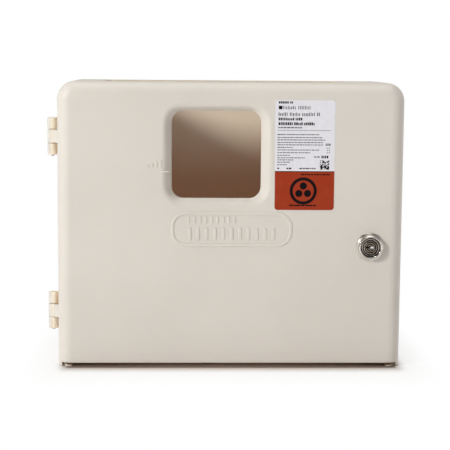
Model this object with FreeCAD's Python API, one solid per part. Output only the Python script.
"""Locking wall cabinet for a sharps container: a moulded rear housing with a shelf and two cheeks,
a deep front door on two three-knuckle hinges, and a wafer cam lock that catches a slotted strike.

Millimetres. X runs to the right seen from the front, Y runs back into the wall, Z is up.
The origin is on the wall face, at the centre of the four wall-screw holes.
"""

import FreeCAD, Part
import math
import os

from FreeCAD import Vector

# ---- cabinet ----
HEIGHT = 281.0
HALF_WIDTH = 169.7
DEPTH = 150.0
WALL = 2.8
BACK_PLATE = 3.0
CORNER_R = 18.0
FRONT_EDGE_R = 13.0
PARTING_Y = -38.0
PARTING_GAP = 0.4

BOTTOM = -HEIGHT / 2
TOP = HEIGHT / 2
FRONT = -DEPTH
INNER_FRONT = FRONT + WALL
DOOR_RIM = PARTING_Y - PARTING_GAP
HOUSING_RIM = PARTING_Y + PARTING_GAP

# ---- shelf, feet and cheeks of the housing, and the door's corner ears ----
SHELF = 4.0
DOOR_BOTTOM = BOTTOM + 4.4
HOUSING_TOP = TOP - 0.8
SHELF_FRONT = -135.0
FOOT_OUT = 166.1
FOOT_IN = 156.0
FOOT_FRONT = -146.4
FOOT_CORNER_R = 9.4
FOOT_HEIGHT = 3.0
FOOT_TOE = 0.5
EAR_WIDTH = 3.8
EAR_BACK = -137.0
EAR_BOTTOM = BOTTOM + 0.9
CHEEK_FRONT = -134.0
CHEEK_IN = 148.0
CHEEK_OUT = 151.0
CHEEK_FRONT_TOP = BOTTOM + 168.0
CHEEK_BACK_TOP = BOTTOM + 216.0
CONTAINER_X = -6.0
CONTAINER_WIDTH = 250.0
LOCATING_RIB_Y = -123.0
SCREW_SPACING_X = 203.2
SCREW_SPACING_Z = 152.4
SCREW_HOLE_R = 2.75
SCREW_BOSS_R = 8.0
SCREW_BOSS_HEIGHT = 2.0

# ---- opening in the top for the container's lid ----
LID_CUT_LEFT = -125.0
LID_CUT_RIGHT = 113.0
LID_CUT_FRONT = -122.0
LID_CUT_R = 10.0

# ---- sight window ----
WINDOW_X = -14.5
WINDOW_Z = BOTTOM + 210.3
WINDOW_WIDTH = 87.5
WINDOW_HEIGHT = 85.5
WINDOW_R = 11.5
BEVEL_WIDTH = 7.0
BEVEL_HEIGHT = 4.8
BEVEL_DEPTH = 7.0
BEVEL_EDGE_R = 7.0
RIM = 2.6

# ---- raised plaque and fill mark ----
PLAQUE_X = 0.8
PLAQUE_Z = BOTTOM + 137.6
PLAQUE_WIDTH = 116.0
PLAQUE_HEIGHT = 31.0
PLAQUE_R = 13.0
BEAD_WIDTH = 3.0
EMBOSS = 0.8
FILL_MARK_Z = BOTTOM + 194.0

# ---- label ----
LABEL_LEFT = 42.3
LABEL_WIDTH = 58.4
LABEL_BOTTOM = BOTTOM + 156.8
LABEL_HEIGHT = 107.3
LABEL_R = 3.0
LABEL_THICK = 0.2

# ---- hinges ----
HINGE_X = -183.6
HINGE_Y = PARTING_Y
HINGE_CENTRES = {"upper": BOTTOM + 221.6, "lower": BOTTOM + 36.6}
KNUCKLE_R = 5.2
DOOR_KNUCKLE = 14.2
HOUSING_KNUCKLE = 12.0
KNUCKLE_GAP = 0.4
PIN_R = 2.0
PIN_RUNNING_GAP = 0.07
PIN_RECESS = 1.5
PIN_STAND_OUT = 1.4

# ---- lip inside the parting line ----
LIP_REACH = 5.0
LIP_GAP = 0.35
LIP_THICK = 1.6

# ---- cam lock, along Y ----
LOCK_X = 137.0
LOCK_Z = BOTTOM + 120.6
TRIM_R = 14.0
TRIM_THICK = 3.0
HEAD_R = 11.7
HEAD_THICK = 3.5
HEAD_STEPS = 3
HEAD_STEP_WIDTH = 0.8
HEAD_STEP_RISE = 0.55
BARREL_R = 9.5
BARREL_END = -128.0
BARREL_HALF_FLAT = 8.0
LOCK_CLEARANCE = 0.15
THREAD_PITCH = 1.5
THREAD_DEPTH = 0.45
PLUG_HEAD_R = 7.0
PLUG_R = 6.45
BORE_CLEARANCE = 0.05
GROOVE_R = 7.3
HEAD_FRONT = FRONT - TRIM_THICK - HEAD_THICK
PLUG_FACE = HEAD_FRONT + 2.2
PLUG_SEAT = HEAD_FRONT + 3.1
KEYWAY_WIDTH = 9.0
KEYWAY_HEIGHT = 2.2
KEYWAY_END = -136.0
SHUTTER_PIVOT_R = 0.3
SHUTTER_Y = PLUG_FACE + 1.4
SHUTTER_Z = LOCK_Z + KEYWAY_HEIGHT / 2 - 0.36
WAFER_COUNT = 5
WAFER_PITCH = 2.4
WAFER_THICK = 1.0
WAFER_WIDTH = 5.0
WAFER_FIRST = -149.0
WAFER_TAB_X = (1.6, 2.4)
WAFER_TAB_Z = 3.9
WAFER_TRAVEL = 0.8
SPRING_POCKET_LEFT = -3.2
SPRING_R = 0.36
SPRING_WIRE_R = 0.13
SPRING_PITCH = 0.62
SPRING_Z = 3.25
PAD_R = 17.0
PAD_THICK = 1.0
SPUR_WASHER = 1.0
NUT_THICK = 5.0
NUT_FLATS = 22.0
STOP_PLATE = 1.0
CAM_THICK = 2.5
CAM_HUB_R = 8.5
CAM_TIP_R = 7.0
CAM_REACH = 22.0
DRIVE_SQUARE = 8.0
SQUARE_CLEARANCE = 0.1
CAM_WASHER = 1.0
CAM_SCREW_R = 2.5
CAM_SCREW_HEAD = 4.0
CAM_SCREW_FLATS = 9.0

# ---- strike ----
STRIKE_THICK = 1.5
STRIKE_FRONT = -133.0
STRIKE_BACK = -106.0
STRIKE_HEIGHT = 76.0
STRIKE_SLOT_FRONT = -129.0
STRIKE_SLOT_BACK = -122.0
STRIKE_SLOT_DOWN = 20.8
STRIKE_SLOT_UP = 8.6
RIVET_R = 2.0
RIVET_HEAD_R = 4.0
RIVET_Y = -113.0
RIVET_OFFSET = 31.0
STRIKE_CENTRE_Z = LOCK_Z - STRIKE_SLOT_DOWN / 4

CAM_FRONT = BARREL_END + STOP_PLATE
CAM_BACK = CAM_FRONT + CAM_THICK
X_AXIS = Vector(1, 0, 0)
Y_AXIS = Vector(0, 1, 0)
Z_AXIS = Vector(0, 0, 1)


# ---------------------------------------------------------------- outlines

def at_y(y):
    """Places outline points (x, z) in the upright plane at this y."""
    return lambda u, v: Vector(u, y, v)


def at_z(z):
    """Places outline points (x, y) in the level plane at this z."""
    return lambda u, v: Vector(u, v, z)


def at_x(x):
    """Places outline points (y, z) in the side plane at this x."""
    return lambda u, v: Vector(x, u, v)


def corner_round(before, corner, after):
    """Start, middle and end of the arc that rounds one corner (u, v, radius) of an outline."""
    u, v, radius = corner
    a = Vector(before[0] - u, before[1] - v, 0).normalize()
    b = Vector(after[0] - u, after[1] - v, 0).normalize()
    here = Vector(u, v, 0)
    if radius == 0:
        return here, None, here
    half = a.getAngle(b) / 2
    bisector = (a + b).normalize()
    reach = radius / math.tan(half)
    middle = here + bisector * (radius / math.sin(half) - radius)
    return here + a * reach, middle, here + b * reach


def outline(corners, place):
    """Closed wire through corners (u, v, radius), each one rounded, laid in the plane that place gives."""
    count = len(corners)
    rounds = [corner_round(corners[i - 1], corners[i], corners[(i + 1) % count]) for i in range(count)]
    edges = []
    for i, (start, middle, end) in enumerate(rounds):
        following = rounds[(i + 1) % count][0]
        if middle is not None:
            arc = Part.Arc(place(start.x, start.y), place(middle.x, middle.y), place(end.x, end.y))
            edges.append(arc.toShape())
        if end.distanceToPoint(following) > 1e-6:
            edges.append(Part.makeLine(place(end.x, end.y), place(following.x, following.y)))
    return Part.Wire(edges)


def slab(corners, place, thickness):
    """Solid of one rounded outline, pushed along the thickness vector."""
    return Part.Face(outline(corners, place)).extrude(thickness)


def rectangle(cu, cv, width, height, radius):
    """Corners of a rounded rectangle about (cu, cv)."""
    left, right = cu - width / 2, cu + width / 2
    low, high = cv - height / 2, cv + height / 2
    return [(left, low, radius), (right, low, radius), (right, high, radius), (left, high, radius)]


def cabinet_corners(inset, bottom, top):
    """The cabinet's front outline, drawn in by inset: square at the foot, rounded at the top."""
    x = HALF_WIDTH - inset
    r = CORNER_R - inset
    return [(-x, bottom, 0), (x, bottom, 0), (x, top - inset, r), (-x, top - inset, r)]


def box(x0, x1, y0, y1, z0, z1):
    return Part.makeBox(x1 - x0, y1 - y0, z1 - z0, Vector(x0, y0, z0))


def rod_x(radius, x0, x1, y, z):
    """Round bar along X."""
    return Part.makeCylinder(radius, x1 - x0, Vector(x0, y, z), X_AXIS)


def rod_y(radius, y0, y1, x, z):
    """Round bar along Y."""
    return Part.makeCylinder(radius, y1 - y0, Vector(x, y0, z), Y_AXIS)


def rod_z(radius, z0, z1, x, y):
    """Round bar along Z."""
    return Part.makeCylinder(radius, z1 - z0, Vector(x, y, z0), Z_AXIS)


def edges_at(shape, test):
    """Edges whose middle point and bounding box satisfy test(point, box)."""
    return [e for e in shape.Edges if test(e.CenterOfMass, e.BoundBox)]


def on_plane_y(bound, y):
    """True if an edge's bounding box lies in the upright plane at y."""
    return abs(bound.YMin - y) < 1e-4 and abs(bound.YMax - y) < 1e-4


def turned_about_lock(profile):
    """Solid of revolution about the lock's axis from (radius, y) points."""
    points = [Vector(LOCK_X + r, y, LOCK_Z) for r, y in profile]
    face = Part.Face(Part.makePolygon(points + points[:1]))
    return face.revolve(Vector(LOCK_X, 0, LOCK_Z), Y_AXIS, 360)


def hexagon_y(flats, y0, y1):
    """Hexagonal bar on the lock's axis, size given across its flats."""
    radius = flats / math.sqrt(3)
    corners = [(LOCK_X + radius * math.cos(math.radians(60 * i)),
                LOCK_Z + radius * math.sin(math.radians(60 * i)), 0) for i in range(6)]
    return slab(corners, at_y(y0), Y_AXIS * (y1 - y0))


def double_d(radius, half_flat, y0, y1):
    """Round bar on the lock's axis with two level flats."""
    flats = box(LOCK_X - radius, LOCK_X + radius, y0, y1, LOCK_Z - half_flat, LOCK_Z + half_flat)
    return rod_y(radius, y0, y1, LOCK_X, LOCK_Z).common(flats)


def square_y(side, y0, y1):
    """Square bar on the lock's axis."""
    return slab(rectangle(LOCK_X, LOCK_Z, side, side, 1.0), at_y(y0), Y_AXIS * (y1 - y0))


# ---------------------------------------------------------------- hinges

def knuckle_span(centre, part):
    """Lowest and highest z of one knuckle: the door's in the middle, the housing's above and below."""
    half = DOOR_KNUCKLE / 2
    start = half + KNUCKLE_GAP
    return {
        "middle": (centre - half, centre + half),
        "above": (centre + start, centre + start + HOUSING_KNUCKLE),
        "below": (centre - start - HOUSING_KNUCKLE, centre - start),
    }[part]


def knuckle(z0, z1, side, bore_r):
    """One hinge knuckle with the web that carries it to the side wall. side is -1 in front, 1 behind."""
    barrel = rod_z(KNUCKLE_R, z0, z1, HINGE_X, HINGE_Y)
    barrel = barrel.makeFillet(0.6, edges_at(barrel, lambda c, b: b.ZLength < 1e-4))
    root_x = -HALF_WIDTH + WALL / 2
    near = HINGE_Y + side * PARTING_GAP
    far = HINGE_Y + side * KNUCKLE_R
    web = slab([(HINGE_X, near, 0), (root_x, near, 0), (root_x, far + side * 13.0, 0), (HINGE_X, far, 0)],
               at_z(z0 + 0.6), Z_AXIS * (z1 - z0 - 1.2))
    bore = rod_z(bore_r, z0 - 1, z1 + 1, HINGE_X, HINGE_Y)
    return barrel.fuse(web).cut(bore)


def hinge_pin(centre):
    """Steel pin, sunk below the top knuckle and standing a little out of the lowest one."""
    z0 = knuckle_span(centre, "below")[0] - PIN_STAND_OUT
    z1 = knuckle_span(centre, "above")[1] - PIN_RECESS
    pin = rod_z(PIN_R, z0, z1, HINGE_X, HINGE_Y)
    return pin.makeFillet(0.8, edges_at(pin, lambda c, b: b.ZLength < 1e-4))


# ---------------------------------------------------------------- rear housing

def shelf():
    """Shelf that the container stands on, with a low wedge-shaped foot at each front corner."""
    x = HALF_WIDTH
    corners = [(-x, 0, 0), (x, 0, 0), (x, SHELF_FRONT, 1.0), (-x, SHELF_FRONT, 1.0)]
    plate = slab(corners, at_z(BOTTOM), Z_AXIS * SHELF)
    back = SHELF_FRONT + 5.0
    plan = slab([(-FOOT_OUT, back, 0), (FOOT_OUT, back, 0), (FOOT_OUT, FOOT_FRONT, FOOT_CORNER_R),
                 (-FOOT_OUT, FOOT_FRONT, FOOT_CORNER_R)], at_z(BOTTOM), Z_AXIS * SHELF)
    for side in (-1, 1):
        wedge = [(side * FOOT_OUT, BOTTOM, 0), (side * FOOT_OUT, BOTTOM + FOOT_HEIGHT, 0),
                 (side * FOOT_IN, BOTTOM + FOOT_TOE, 0), (side * FOOT_IN, BOTTOM, 0)]
        plate = plate.fuse(slab(wedge, at_y(FOOT_FRONT), Y_AXIS * (back - FOOT_FRONT)).common(plan))
    return plate


def cheek(x0, x1):
    """Upright rib that flanks the container and stiffens the shelf."""
    corners = [
        (-BACK_PLATE, BOTTOM + SHELF, 0), (CHEEK_FRONT, BOTTOM + SHELF, 0),
        (CHEEK_FRONT, CHEEK_FRONT_TOP, 22.0), (-BACK_PLATE, CHEEK_BACK_TOP, 0),
    ]
    return slab(corners, at_x(x0), X_AXIS * (x1 - x0))


def strike_slot(x0, x1):
    """Slot that the lock's cam swings into."""
    return box(x0, x1, STRIKE_SLOT_FRONT, STRIKE_SLOT_BACK,
               LOCK_Z - STRIKE_SLOT_DOWN, LOCK_Z + STRIKE_SLOT_UP)


def rivet_places():
    return [STRIKE_CENTRE_Z - RIVET_OFFSET, STRIKE_CENTRE_Z + RIVET_OFFSET]


def hoop(outer_inset, inner_inset, y0, y1):
    """Upright hoop that follows the cabinet's outline between two insets, open at the shelf."""
    depth = y1 - y0
    outer = slab(cabinet_corners(outer_inset, BOTTOM + SHELF, HOUSING_TOP), at_y(y0), Y_AXIS * depth)
    inner = slab(cabinet_corners(inner_inset, BOTTOM, HOUSING_TOP), at_y(y0 - 1), Y_AXIS * (depth + 2))
    return outer.cut(inner)


def parting_lip():
    """Tongue that reaches into the closed door behind the parting line, with the step that carries it."""
    outer_inset = WALL + LIP_GAP
    inner_inset = outer_inset + LIP_THICK
    front = DOOR_RIM - LIP_REACH
    step = hoop(WALL / 2, inner_inset, HOUSING_RIM, HOUSING_RIM + 3.0)
    return step.fuse(hoop(outer_inset, inner_inset, front, HOUSING_RIM + 1.0))


def rear_housing():
    """Back plate, side and top returns, shelf, cheeks, screw bosses and the outer hinge knuckles."""
    depth = -HOUSING_RIM
    body = slab(cabinet_corners(0, BOTTOM, HOUSING_TOP), at_y(HOUSING_RIM), Y_AXIS * depth)
    hollow = slab(cabinet_corners(WALL, BOTTOM + SHELF, HOUSING_TOP), at_y(HOUSING_RIM - 1),
                  Y_AXIS * (depth + 1 - BACK_PLATE))
    body = body.cut(hollow)
    body = body.fuse(parting_lip())
    body = body.cut(box(LID_CUT_LEFT, LID_CUT_RIGHT, HOUSING_RIM - LIP_REACH - 1, -BACK_PLATE,
                        TOP - 20, TOP + 5))
    body = body.fuse([shelf(), cheek(-CHEEK_OUT, -CHEEK_IN), cheek(CHEEK_IN, CHEEK_OUT)])
    rib_left = CONTAINER_X - CONTAINER_WIDTH / 2
    body = body.fuse(box(rib_left, rib_left + CONTAINER_WIDTH, LOCATING_RIB_Y - 2, LOCATING_RIB_Y,
                         BOTTOM + SHELF, BOTTOM + SHELF + 5))
    for sx in (-0.5, 0.5):
        for sz in (-0.5, 0.5):
            x, z = sx * SCREW_SPACING_X, sz * SCREW_SPACING_Z
            body = body.fuse(rod_y(SCREW_BOSS_R, -BACK_PLATE - SCREW_BOSS_HEIGHT, -1, x, z))
            body = body.cut(rod_y(SCREW_HOLE_R, -BACK_PLATE - SCREW_BOSS_HEIGHT - 1, 1, x, z))
    body = body.cut(strike_slot(CHEEK_IN - 1, CHEEK_OUT + 1))
    for z in rivet_places():
        body = body.cut(rod_x(RIVET_R, CHEEK_IN - 1, CHEEK_OUT + 1, RIVET_Y, z))
    for centre in HINGE_CENTRES.values():
        for part in ("above", "below"):
            z0, z1 = knuckle_span(centre, part)
            body = body.fuse(knuckle(z0, z1, 1, PIN_R))
    return body.removeSplitter()


# ---------------------------------------------------------------- door

def door_block(inset, front, edge_r, bottom):
    """Solid in the door's outer form, drawn in by inset, with its front edges rounded."""
    block = slab(cabinet_corners(inset, bottom, TOP), at_y(front), Y_AXIS * (DOOR_RIM - front))
    rounded = edges_at(block, lambda c, b: on_plane_y(b, front) and c.z > bottom + 1)
    return block.makeFillet(edge_r, rounded)


def window_rectangle(grow_x, grow_z):
    """The window's outline, grown by these amounts at the sides and at the top and bottom."""
    return rectangle(WINDOW_X, WINDOW_Z, WINDOW_WIDTH + 2 * grow_x, WINDOW_HEIGHT + 2 * grow_z,
                     WINDOW_R + (grow_x + grow_z) / 2)


def window_funnel(front_y, wall, back_y, back_grow):
    """Tapered solid along the dish, this much wider than it at the front, down to the window's outline."""
    wires = [outline(window_rectangle(BEVEL_WIDTH + wall, BEVEL_HEIGHT + wall), at_y(front_y)),
             outline(window_rectangle(back_grow, back_grow), at_y(back_y))]
    return Part.makeLoft(wires, True, True)


def cut_window(door):
    """Dishes the front in towards the window and opens it, with a rounded rim where the dish starts."""
    rim_front = FRONT + BEVEL_DEPTH
    rim_back = rim_front + RIM
    door = door.fuse(window_funnel(INNER_FRONT - 0.2, 0.8, rim_back, RIM))
    door = door.cut(window_funnel(FRONT, 0, rim_front, 0))
    door = door.cut(slab(window_rectangle(0, 0), at_y(rim_front - 0.01), Y_AXIS * (RIM + 1)))
    reach = WINDOW_WIDTH / 2 + BEVEL_WIDTH + 1

    def dish_rim(c, b):
        return on_plane_y(b, FRONT) and abs(c.x - WINDOW_X) < reach and abs(c.z - WINDOW_Z) < reach

    return door.makeFillet(BEVEL_EDGE_R, edges_at(door, dish_rim))


def raised(corners, height, soften):
    """Raised mark on the front face with softened edges, rooted a little below the face."""
    mark = slab(corners, at_y(FRONT - height), Y_AXIS * (height + 0.5))
    return mark.makeFillet(soften, edges_at(mark, lambda c, b: on_plane_y(b, FRONT - height)))


def plaque_bead():
    """Raised bead around the plaque."""
    wide = rectangle(PLAQUE_X, PLAQUE_Z, PLAQUE_WIDTH + BEAD_WIDTH, PLAQUE_HEIGHT + BEAD_WIDTH,
                     PLAQUE_R + BEAD_WIDTH / 2)
    narrow = rectangle(PLAQUE_X, PLAQUE_Z, PLAQUE_WIDTH - BEAD_WIDTH, PLAQUE_HEIGHT - BEAD_WIDTH,
                       PLAQUE_R - BEAD_WIDTH / 2)
    ring = slab(wide, at_y(FRONT - EMBOSS), Y_AXIS * (EMBOSS + 0.5))
    ring = ring.cut(slab(narrow, at_y(FRONT - EMBOSS - 1), Y_AXIS * (EMBOSS + 2)))
    return ring.makeFillet(0.7, edges_at(ring, lambda c, b: on_plane_y(b, FRONT - EMBOSS)))


def rib_row(left, centre_z, count, pitch, width, height):
    """Row of plain raised ribs, upright and evenly spaced."""
    return [raised(rectangle(left + i * pitch, centre_z, width, height, width * 0.45), 0.6, 0.4)
            for i in range(count)]


def plaque_pattern():
    """Plain ornament inside the plaque: a row of short ribs over a row of tall ones."""
    left = PLAQUE_X - PLAQUE_WIDTH / 2 + 16.0
    short_row = rib_row(left, PLAQUE_Z + 9.2, 9, 5.6, 2.0, 6.4)
    tall_row = rib_row(left + 1.0, PLAQUE_Z - 4.6, 11, 8.2, 3.0, 12.5)
    return short_row + tall_row


def fill_mark():
    """Fill line beside the window, with four plain bars that rise like a level."""
    line = rectangle(-64.8, FILL_MARK_Z, 7.6, 1.4, 0.6)
    marks = [raised(line, 0.6, 0.3)]
    for i in range(4):
        tall = 2.6 + 1.5 * i
        bar = rectangle(-81.0 + 4.0 * i, FILL_MARK_Z + 4.0 + tall / 2, 2.0, tall, 0.9)
        marks.append(raised(bar, 0.5, 0.3))
    return marks


def door_shell():
    """Deep moulded door: front, sides and part of a top, open below and behind, with two corner ears."""
    door = door_block(0, FRONT, FRONT_EDGE_R, EAR_BOTTOM)
    door = cut_window(door.cut(door_block(WALL, INNER_FRONT, FRONT_EDGE_R - WALL, EAR_BOTTOM - 5)))
    ear_in = HALF_WIDTH - EAR_WIDTH
    door = door.cut(box(-ear_in, ear_in, FRONT - 1, DOOR_RIM + 1, BOTTOM, DOOR_BOTTOM))
    door = door.cut(box(-HALF_WIDTH - 1, HALF_WIDTH + 1, EAR_BACK, DOOR_RIM + 1, BOTTOM, DOOR_BOTTOM))
    lid_cut = [(LID_CUT_LEFT, LID_CUT_FRONT, LID_CUT_R), (LID_CUT_RIGHT, LID_CUT_FRONT, LID_CUT_R),
               (LID_CUT_RIGHT, DOOR_RIM + 5, 0), (LID_CUT_LEFT, DOOR_RIM + 5, 0)]
    door = door.cut(slab(lid_cut, at_z(TOP - 10), Z_AXIS * 15))
    door = door.fuse(rod_y(PAD_R, INNER_FRONT - 0.5, INNER_FRONT + PAD_THICK, LOCK_X, LOCK_Z))
    door = door.cut(double_d(BARREL_R + LOCK_CLEARANCE, BARREL_HALF_FLAT + LOCK_CLEARANCE, FRONT - 1,
                             INNER_FRONT + PAD_THICK + 1))
    door = door.fuse([plaque_bead()] + plaque_pattern() + fill_mark())
    for centre in HINGE_CENTRES.values():
        z0, z1 = knuckle_span(centre, "middle")
        door = door.fuse(knuckle(z0, z1, -1, PIN_R + PIN_RUNNING_GAP))
    return door.removeSplitter()


def label_sheet():
    """Adhesive label on the door's front face."""
    corners = rectangle(LABEL_LEFT + LABEL_WIDTH / 2, LABEL_BOTTOM + LABEL_HEIGHT / 2,
                        LABEL_WIDTH, LABEL_HEIGHT, LABEL_R)
    return slab(corners, at_y(FRONT - LABEL_THICK), Y_AXIS * LABEL_THICK)


# ---------------------------------------------------------------- cam lock

def lock_trim_ring():
    """Polished ring between the door and the lock's head."""
    back, front = FRONT, FRONT - TRIM_THICK
    inner = BARREL_R + LOCK_CLEARANCE
    return turned_about_lock([(inner, back), (TRIM_R, back), (TRIM_R, back - 0.6),
                              (TRIM_R - 0.4, back - 1.0), (TRIM_R - 1.4, back - 1.2),
                              (TRIM_R - 2.0, back - 1.7), (TRIM_R - 2.1, front), (inner, front)])


def lock_housing():
    """Lock body: a lip round a stepped dish, a threaded barrel with two flats, and the stop lug."""
    head_back = FRONT - TRIM_THICK
    seat = PLUG_HEAD_R + BORE_CLEARANCE
    bore = PLUG_R + BORE_CLEARANCE
    dish = HEAD_FRONT + 0.75 + HEAD_STEPS * HEAD_STEP_RISE
    profile = [(bore, BARREL_END), (bore, PLUG_SEAT), (seat, PLUG_SEAT), (seat, dish)]
    for step in range(HEAD_STEPS):
        r, y = seat + 0.45 + HEAD_STEP_WIDTH * step, dish - HEAD_STEP_RISE * step
        profile += [(r, y), (r + 0.25, y - HEAD_STEP_RISE + 0.05)]
    lip = [(-1.9, 0.7), (-1.5, 0.2), (-1.1, 0.0), (-0.6, 0.1), (-0.2, 0.5), (0.0, 1.1)]
    profile += [(HEAD_R + out, HEAD_FRONT + back) for out, back in lip]
    profile += [(HEAD_R, head_back), (BARREL_R, head_back)]
    y = head_back + 2 * THREAD_PITCH
    profile.append((BARREL_R, y))
    while y + THREAD_PITCH < BARREL_END - 1:
        profile.append((BARREL_R - THREAD_DEPTH, y + THREAD_PITCH / 2))
        profile.append((BARREL_R, y + THREAD_PITCH))
        y += THREAD_PITCH
    profile.append((BARREL_R, BARREL_END))
    body = turned_about_lock(profile)
    body = body.fuse(stop_lug())
    outside = rod_y(BARREL_R + 5, head_back, BARREL_END + 5, LOCK_X, LOCK_Z)
    body = body.cut(outside.cut(double_d(BARREL_R + 5, BARREL_HALF_FLAT, head_back, BARREL_END + 5)))
    half = WAFER_WIDTH / 2 + 0.2
    y0 = WAFER_FIRST - 1
    y1 = WAFER_FIRST + (WAFER_COUNT - 1) * WAFER_PITCH + WAFER_THICK + 1
    groove_x = box(LOCK_X, LOCK_X + GROOVE_R, y0, y1, LOCK_Z - half, LOCK_Z + half)
    groove_z = box(LOCK_X - half, LOCK_X + half, y0, y1, LOCK_Z, LOCK_Z + GROOVE_R)
    return body.cut(groove_x).cut(groove_z).removeSplitter()


def sector_prism(inner_r, outer_r, start, end, y0, y1):
    """Ring sector about the lock's axis, angles in degrees from +X towards +Z."""
    ring = rod_y(outer_r, y0, y1, LOCK_X, LOCK_Z).cut(rod_y(inner_r, y0 - 1, y1 + 1, LOCK_X, LOCK_Z))
    far = outer_r * 3
    steps = 6
    angles = [math.radians(start + (end - start) * i / steps) for i in range(steps + 1)]
    corners = [(LOCK_X, LOCK_Z, 0)]
    corners += [(LOCK_X + far * math.cos(a), LOCK_Z + far * math.sin(a), 0) for a in angles]
    return ring.common(slab(corners, at_y(y0), Y_AXIS * (y1 - y0)))


def stop_lug():
    """Raised sector on the barrel's end that the stop plate's tab turns between."""
    return sector_prism(PLUG_R + 0.35, BARREL_R, 16.5, 253.5, BARREL_END - 0.2, BARREL_END + STOP_PLATE)


def stop_plate():
    """Square-holed plate on the plug whose tab limits the turn to a quarter."""
    disc = rod_y(PLUG_R - 0.15, BARREL_END, CAM_FRONT, LOCK_X, LOCK_Z)
    tab = sector_prism(PLUG_R - 1.5, BARREL_R - 1.6, -105, -75, BARREL_END, CAM_FRONT)
    side = DRIVE_SQUARE + SQUARE_CLEARANCE
    return disc.fuse(tab).cut(square_y(side, BARREL_END - 1, CAM_FRONT + 1)).removeSplitter()


def wafer_start(index):
    """Front face of one wafer, counted from the key's side."""
    return WAFER_FIRST + index * WAFER_PITCH


def plug_blank():
    """Turned blank of the plug: a dished face with one raised ring, a head and a long shank."""
    rim, dish = PLUG_FACE + 0.4, PLUG_FACE + 0.3
    crest = PLUG_FACE - 0.1
    back = PLUG_SEAT - 0.05
    return turned_about_lock([(0, rim), (4.9, rim), (5.2, crest), (5.8, crest), (6.1, dish),
                              (PLUG_HEAD_R - 0.1, dish), (PLUG_HEAD_R, rim), (PLUG_HEAD_R, back),
                              (PLUG_R, back), (PLUG_R, BARREL_END), (0, BARREL_END)])


def lock_plug():
    """Turning plug with keyway, wafer slots, spring pockets and the square that drives the cam."""
    plug = plug_blank().fuse(square_y(DRIVE_SQUARE, BARREL_END - 0.5, CAM_BACK - 0.1))
    keyway = slab(rectangle(LOCK_X, LOCK_Z, KEYWAY_WIDTH, KEYWAY_HEIGHT, 0.6), at_y(PLUG_FACE - 1),
                  Y_AXIS * (KEYWAY_END - PLUG_FACE + 1))
    plug = plug.cut(keyway)
    half = WAFER_WIDTH / 2 + 0.05
    for i in range(WAFER_COUNT):
        y0 = wafer_start(i) - 0.05
        y1 = y0 + WAFER_THICK + 0.1
        plug = plug.cut(box(LOCK_X - 8, LOCK_X + 8, y0, y1, LOCK_Z - half, LOCK_Z + half))
        pocket_right = WAFER_TAB_X[1] + WAFER_TRAVEL + 0.05
        plug = plug.cut(box(LOCK_X + SPRING_POCKET_LEFT, LOCK_X + pocket_right, y0, y1,
                            LOCK_Z, LOCK_Z + WAFER_TAB_Z + 0.1))
    half_pivot = KEYWAY_WIDTH / 2 + 0.7
    plug = plug.cut(rod_x(SHUTTER_PIVOT_R + BORE_CLEARANCE, LOCK_X - half_pivot, LOCK_X + half_pivot,
                          SHUTTER_Y, SHUTTER_Z))
    return plug.cut(rod_y(CAM_SCREW_R, KEYWAY_END + 2, CAM_BACK + 1, LOCK_X, LOCK_Z))


def lock_wafers():
    """Wafer stack, drawn in flush with the plug as it is when the key is home."""
    wafers = []
    for i in range(WAFER_COUNT):
        y0 = wafer_start(i)
        y1 = y0 + WAFER_THICK
        plate = box(LOCK_X - 8, LOCK_X + 8, y0, y1, LOCK_Z - WAFER_WIDTH / 2, LOCK_Z + WAFER_WIDTH / 2)
        wafer = plate.common(rod_y(PLUG_R - 0.1, y0, y1, LOCK_X, LOCK_Z))
        wafer = wafer.fuse(box(LOCK_X + WAFER_TAB_X[0], LOCK_X + WAFER_TAB_X[1], y0, y1,
                               LOCK_Z + 1.8, LOCK_Z + WAFER_TAB_Z)).removeSplitter()
        shift = 0.25 * (i % 3 - 1)
        window = slab(rectangle(LOCK_X + shift, LOCK_Z, 7.0, 2.6, 0.5), at_y(y0 - 1),
                      Y_AXIS * (WAFER_THICK + 2))
        wafers.append(wafer.cut(window))
    return Part.makeCompound(wafers)


def wafer_springs():
    """Small coil springs that push each wafer out towards +X."""
    springs = []
    left = LOCK_X + SPRING_POCKET_LEFT + SPRING_WIRE_R + 0.02
    length = WAFER_TAB_X[0] - SPRING_POCKET_LEFT - 2 * SPRING_WIRE_R - 0.04
    for i in range(WAFER_COUNT):
        middle_y = wafer_start(i) + WAFER_THICK / 2
        helix = Part.makeHelix(SPRING_PITCH, length, SPRING_R)
        wire = Part.Wire(Part.makeCircle(SPRING_WIRE_R, Vector(SPRING_R, 0, 0), Y_AXIS))
        coil = Part.Wire(helix.Edges).makePipeShell([wire], True, True)
        coil.rotate(Vector(0, 0, 0), Y_AXIS, 90)
        coil.translate(Vector(left, middle_y, LOCK_Z + SPRING_Z))
        springs.append(coil)
    return Part.makeCompound(springs)


def dust_shutter():
    """Thin flap that closes the keyway, on a round pivot along its upper edge."""
    half = KEYWAY_WIDTH / 2 - 0.5
    half_pivot = KEYWAY_WIDTH / 2 + 0.5
    bottom = LOCK_Z - KEYWAY_HEIGHT / 2 + 0.15
    flap = box(LOCK_X - half, LOCK_X + half, SHUTTER_Y - SHUTTER_PIVOT_R, SHUTTER_Y + 0.05,
               bottom, SHUTTER_Z)
    pivot = rod_x(SHUTTER_PIVOT_R, LOCK_X - half_pivot, LOCK_X + half_pivot, SHUTTER_Y, SHUTTER_Z)
    return flap.fuse(pivot).removeSplitter()


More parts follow.
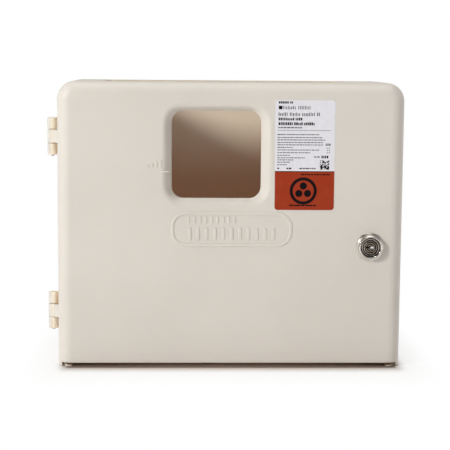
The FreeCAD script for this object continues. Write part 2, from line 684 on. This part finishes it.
def lock_cam():
    """Flat steel cam, pointing down when the lock is open."""
    hub = rod_y(CAM_HUB_R, CAM_FRONT, CAM_BACK, LOCK_X, LOCK_Z)
    tip_z = LOCK_Z - (CAM_REACH - CAM_TIP_R)
    tip = rod_y(CAM_TIP_R, CAM_FRONT, CAM_BACK, LOCK_X, tip_z)
    arm = box(LOCK_X - CAM_TIP_R, LOCK_X + CAM_TIP_R, CAM_FRONT, CAM_BACK, tip_z, LOCK_Z)
    side = DRIVE_SQUARE + SQUARE_CLEARANCE
    return hub.fuse([tip, arm]).cut(square_y(side, CAM_FRONT - 1, CAM_BACK + 1)).removeSplitter()


def cam_lock_washer():
    washer = rod_y(5.5, CAM_BACK, CAM_BACK + CAM_WASHER, LOCK_X, LOCK_Z)
    washer = washer.cut(rod_y(CAM_SCREW_R + 0.1, CAM_BACK - 1, CAM_BACK + 2, LOCK_X, LOCK_Z))
    split = box(LOCK_X - 0.3, LOCK_X + 0.3, CAM_BACK - 1, CAM_BACK + 2, LOCK_Z, LOCK_Z + 6)
    return washer.cut(split)


def cam_screw():
    """Hexagon-headed screw that holds the cam on the plug."""
    seat = CAM_BACK + CAM_WASHER
    head = hexagon_y(CAM_SCREW_FLATS, seat, seat + CAM_SCREW_HEAD)
    dome = rod_y(CAM_SCREW_FLATS / 2 + 0.35, seat, seat + CAM_SCREW_HEAD, LOCK_X, LOCK_Z)
    dome = dome.makeFillet(1.2, edges_at(dome, lambda c, b: on_plane_y(b, seat + CAM_SCREW_HEAD)))
    shank = rod_y(CAM_SCREW_R, KEYWAY_END + 3, seat + 0.5, LOCK_X, LOCK_Z)
    return head.common(dome).fuse(shank).removeSplitter()


def lock_spur_washer():
    """Washer under the nut, with the barrel's double-D hole so that it can't turn."""
    y0 = INNER_FRONT + PAD_THICK
    washer = rod_y(13.5, y0, y0 + SPUR_WASHER, LOCK_X, LOCK_Z)
    hole = double_d(BARREL_R + LOCK_CLEARANCE, BARREL_HALF_FLAT + LOCK_CLEARANCE, y0 - 1, y0 + 2)
    return washer.cut(hole)


def lock_nut():
    """Hexagonal nut that clamps the lock to the door, with chamfered corners."""
    y0 = INNER_FRONT + PAD_THICK + SPUR_WASHER
    y1 = y0 + NUT_THICK
    nut = hexagon_y(NUT_FLATS, y0, y1)
    disc = rod_y(NUT_FLATS / 2 + 1.0, y0, y1, LOCK_X, LOCK_Z)
    disc = disc.makeChamfer(0.9, edges_at(disc, lambda c, b: on_plane_y(b, y1)))
    return nut.common(disc).cut(rod_y(BARREL_R + 0.02, y0 - 1, y1 + 1, LOCK_X, LOCK_Z))


# ---------------------------------------------------------------- strike

def strike_plate():
    """Steel plate on the right cheek with the slot that the cam turns into."""
    corners = rectangle((STRIKE_FRONT + STRIKE_BACK) / 2, STRIKE_CENTRE_Z, STRIKE_BACK - STRIKE_FRONT,
                        STRIKE_HEIGHT, 4.0)
    plate = slab(corners, at_x(CHEEK_OUT), X_AXIS * STRIKE_THICK)
    plate = plate.cut(strike_slot(CHEEK_OUT - 1, CHEEK_OUT + STRIKE_THICK + 1))
    for z in rivet_places():
        plate = plate.cut(rod_x(RIVET_R, CHEEK_OUT - 1, CHEEK_OUT + STRIKE_THICK + 1, RIVET_Y, z))
    return plate


def strike_rivets():
    """Two rivets through the plate and the cheek."""
    rivets = []
    outer_x = CHEEK_OUT + STRIKE_THICK
    for z in rivet_places():
        shank = rod_x(RIVET_R, CHEEK_IN, outer_x, RIVET_Y, z)
        outer = rod_x(RIVET_HEAD_R, outer_x, outer_x + 1.0, RIVET_Y, z)
        outer = outer.makeFillet(0.7, edges_at(outer, lambda c, b: b.XLength < 1e-4 and c.x > outer_x + 0.5))
        inner = rod_x(RIVET_HEAD_R, CHEEK_IN - 1.2, CHEEK_IN, RIVET_Y, z)
        inner = inner.makeFillet(0.8, edges_at(inner, lambda c, b: b.XLength < 1e-4 and c.x < CHEEK_IN - 1))
        rivets.append(shank.fuse([outer, inner]).removeSplitter())
    return Part.makeCompound(rivets)


PARTS = {
    "rear_housing": rear_housing,
    "door_shell": door_shell,
    "label_sheet": label_sheet,
    "upper_hinge_pin": lambda: hinge_pin(HINGE_CENTRES["upper"]),
    "lower_hinge_pin": lambda: hinge_pin(HINGE_CENTRES["lower"]),
    "lock_trim_ring": lock_trim_ring,
    "lock_housing": lock_housing,
    "lock_spur_washer": lock_spur_washer,
    "lock_nut": lock_nut,
    "lock_plug": lock_plug,
    "lock_wafers": lock_wafers,
    "wafer_springs": wafer_springs,
    "dust_shutter": dust_shutter,
    "stop_plate": stop_plate,
    "lock_cam": lock_cam,
    "cam_lock_washer": cam_lock_washer,
    "cam_screw": cam_screw,
    "strike_plate": strike_plate,
    "strike_rivets": strike_rivets,
}


def main():
    os.makedirs("parts", exist_ok=True)
    for name, build in PARTS.items():
        shape = build()
        if not shape.isValid() or not shape.Solids:
            raise ValueError(f"{name} is not a valid solid")
        shape.exportStep(f"parts/{name}.step")
        print(name, len(shape.Solids), "solid,", round(shape.Volume), "mm3")


main()
